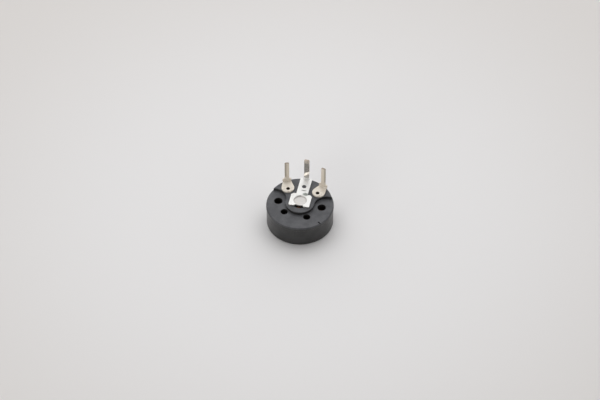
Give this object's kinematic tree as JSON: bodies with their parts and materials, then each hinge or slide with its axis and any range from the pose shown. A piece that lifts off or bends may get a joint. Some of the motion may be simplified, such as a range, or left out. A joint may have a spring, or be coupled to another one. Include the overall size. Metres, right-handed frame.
{
  "type": "rotary potentiometer",
  "caption": "Round moulded carbon potentiometer with rear solder terminals riveted to a raised platform, and a slotted rotor in its front face.",
  "frame": {"origin": "on the rotor axis, in the plane of the front resting face", "axes": "+Z along the rotor axis, from the front face to the terminals; +Y towards the side where the terminal legs stand; +X completes the frame"},
  "size_m": [0.017, 0.017, 0.0135],
  "materials": {
    "housing_black": "matte moulded thermoset, dark grey to black",
    "cover_black": "matte moulded plastic, black",
    "rotor_black": "satin moulded plastic, black",
    "spring_bronze": "bright rolled phosphor bronze",
    "phenolic_brown": "dark brown phenolic laminate with a printed carbon track",
    "matte_tin": "dull tin plate on stamped brass",
    "rivet_tin": "dull tin plate on a hollow brass rivet",
    "bright_tin": "bright tin plate on stamped brass"
  },
  "bodies": {
    "case": {"housing": "housing_black", "front_cover": "cover_black", "resistive_element": "phenolic_brown", "left_terminal": "matte_tin", "right_terminal": "matte_tin", "left_rivet": "rivet_tin", "right_rivet": "rivet_tin", "wiper_terminal": "bright_tin"},
    "turning_rotor": {"rotor": "rotor_black", "wiper_spring": "spring_bronze"}
  },
  "joints": [
    {"name": "rotor_turn", "type": "hinge", "parent": "case", "child": "turning_rotor", "pos_m": [0, 0, 0.003], "axis": [0, 0, 1], "range_deg": [-120, 120]}
  ]
}
